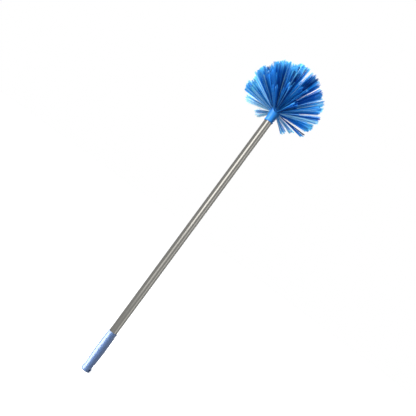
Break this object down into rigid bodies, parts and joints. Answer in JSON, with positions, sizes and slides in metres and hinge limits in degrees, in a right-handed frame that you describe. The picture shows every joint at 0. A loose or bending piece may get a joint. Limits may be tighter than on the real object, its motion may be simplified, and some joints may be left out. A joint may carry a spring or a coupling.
{
  "type": "cobweb brush",
  "caption": "Long-handled cobweb brush: trimmed bristle tufts fan out into a ball from a domed hub that screws onto a steel pole with a moulded grip and a hanging hole.",
  "frame": {"origin": "centre of the grip's flat end face", "axes": "+Z along the pole from the grip to the bristle head; X along the hanging hole"},
  "size_m": [0.2801, 0.2815, 1.2999],
  "materials": {
    "grip_plastic": "satin",
    "stainless_tube": "polished",
    "tip_plastic": "matte",
    "washer_rubber": "matte",
    "hub_plastic": "gloss",
    "staple_wire": "satin",
    "bristle": "satin"
  },
  "bodies": {
    "pole": {"grip": "grip_plastic", "tube": "stainless_tube", "pole_tip": "tip_plastic"},
    "washer": {"friction_washer": "washer_rubber"},
    "head": {"hub": "hub_plastic", "tuft_staples": "staple_wire", "tuft_01": "bristle", "tuft_02": "bristle", "tuft_03": "bristle", "tuft_04": "bristle", "tuft_05": "bristle", "tuft_06": "bristle", "tuft_07": "bristle", "tuft_08": "bristle", "tuft_09": "bristle", "tuft_10": "bristle", "tuft_11": "bristle", "tuft_12": "bristle", "tuft_13": "bristle", "tuft_14": "bristle", "tuft_15": "bristle", "tuft_16": "bristle", "tuft_17": "bristle", "tuft_18": "bristle", "tuft_19": "bristle", "tuft_20": "bristle", "tuft_21": "bristle", "tuft_22": "bristle", "tuft_23": "bristle", "tuft_24": "bristle", "tuft_25": "bristle", "tuft_26": "bristle", "tuft_27": "bristle", "tuft_28": "bristle", "tuft_29": "bristle", "tuft_30": "bristle", "tuft_31": "bristle", "tuft_32": "bristle"}
  },
  "joints": [
    {"name": "head_unscrew", "type": "hinge", "parent": "pole", "child": "washer", "pos_m": [0, 0, 1.0968], "axis": [0, 0, 1], "range_deg": [0, 1530]},
    {"name": "head_rise", "type": "slide", "parent": "washer", "child": "head", "axis": [0, 0, 1], "range_m": [0, 0.0192]}
  ],
  "couplings": [
    {"joint": "head_rise", "follows": "head_unscrew", "m_per_rad": 0.0007162}
  ]
}
